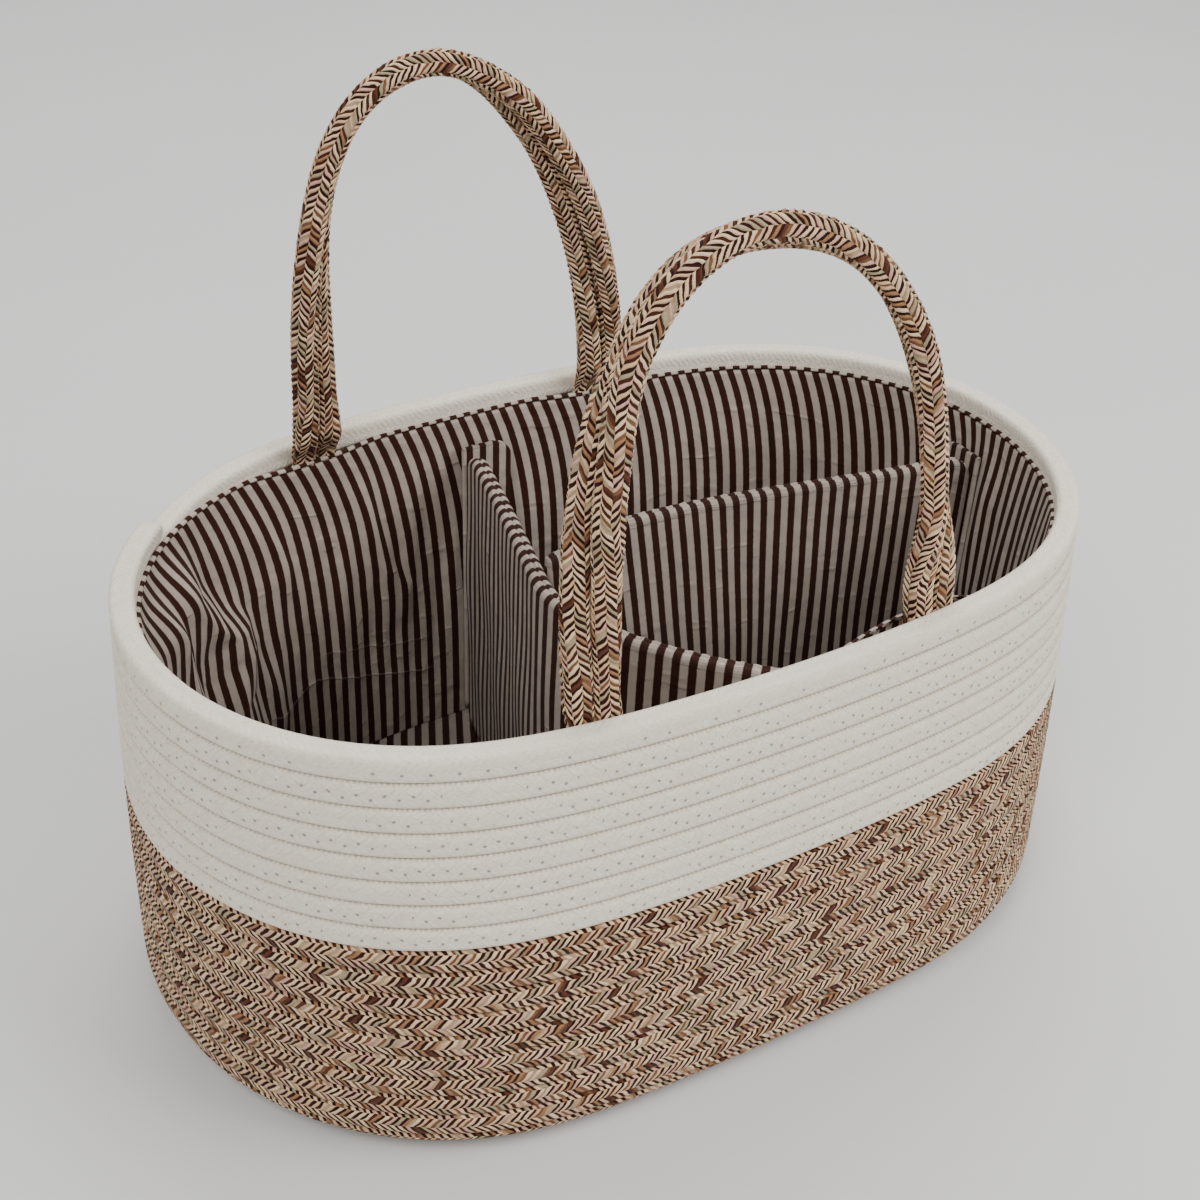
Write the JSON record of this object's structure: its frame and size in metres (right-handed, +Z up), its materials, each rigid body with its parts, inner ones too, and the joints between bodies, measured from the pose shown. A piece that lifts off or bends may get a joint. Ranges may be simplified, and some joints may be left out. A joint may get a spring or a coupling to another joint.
{
  "type": "diaper caddy",
  "caption": "Oval coiled-rope caddy with a cream upper wall, speckled brown base, striped lining, rope carry handles and a lift-out padded divider.",
  "frame": {"origin": "middle of the base, on the surface it stands on", "axes": "+X along the length to the right as pictured from the front, +Y to the back, +Z up"},
  "size_m": [0.389, 0.2534, 0.3234],
  "materials": {
    "brown_rope": "braided speckled cotton rope, coiled and stitched",
    "cream_rope": "braided natural cotton rope, coiled and stitched",
    "handle_rope": "braided speckled cotton rope",
    "lining": "striped cotton ticking",
    "divider_cloth": "striped cotton ticking over soft board",
    "hook_tape": "woven hook tape"
  },
  "bodies": {
    "basket": {"brown_rope": "brown_rope", "cream_rope": "cream_rope", "lining_wall": "lining", "lining_floor": "lining", "front_tail_left_outer": "handle_rope", "front_tail_left_inner": "handle_rope", "front_tail_right_outer": "handle_rope", "front_tail_right_inner": "handle_rope", "back_tail_left_outer": "handle_rope", "back_tail_left_inner": "handle_rope", "back_tail_right_outer": "handle_rope", "back_tail_right_inner": "handle_rope"},
    "front_handle": {"front_handle_outer": "handle_rope", "front_handle_inner": "handle_rope"},
    "back_handle": {"back_handle_outer": "handle_rope", "back_handle_inner": "handle_rope"},
    "divider": {"cross_board": "divider_cloth", "back_flap": "divider_cloth", "back_tape": "hook_tape", "front_flap": "divider_cloth", "front_tape": "hook_tape", "seam_strip": "divider_cloth"},
    "long_leaf": {"long_board": "divider_cloth", "end_flap": "divider_cloth", "end_tape": "hook_tape"}
  },
  "joints": [
    {"name": "front_handle_swing", "type": "hinge", "parent": "basket", "child": "front_handle", "pos_m": [-0.0025, -0.09796, 0.1796], "axis": [1, -0.0034, 0], "range_deg": [-18, 86]},
    {"name": "back_handle_swing", "type": "hinge", "parent": "basket", "child": "back_handle", "pos_m": [-0.019, 0.09709, 0.1796], "axis": [0.9991, 0.0422, 0], "range_deg": [-86, 24]},
    {"name": "divider_lift", "type": "slide", "parent": "basket", "child": "divider", "axis": [0, 0, 1], "range_m": [0, 0.125]},
    {"name": "long_leaf_swing", "type": "hinge", "parent": "divider", "child": "long_leaf", "pos_m": [-0.0282, 0.009, 0.07925], "axis": [0, 0, 1], "range_deg": [-4.5, 0]}
  ]
}
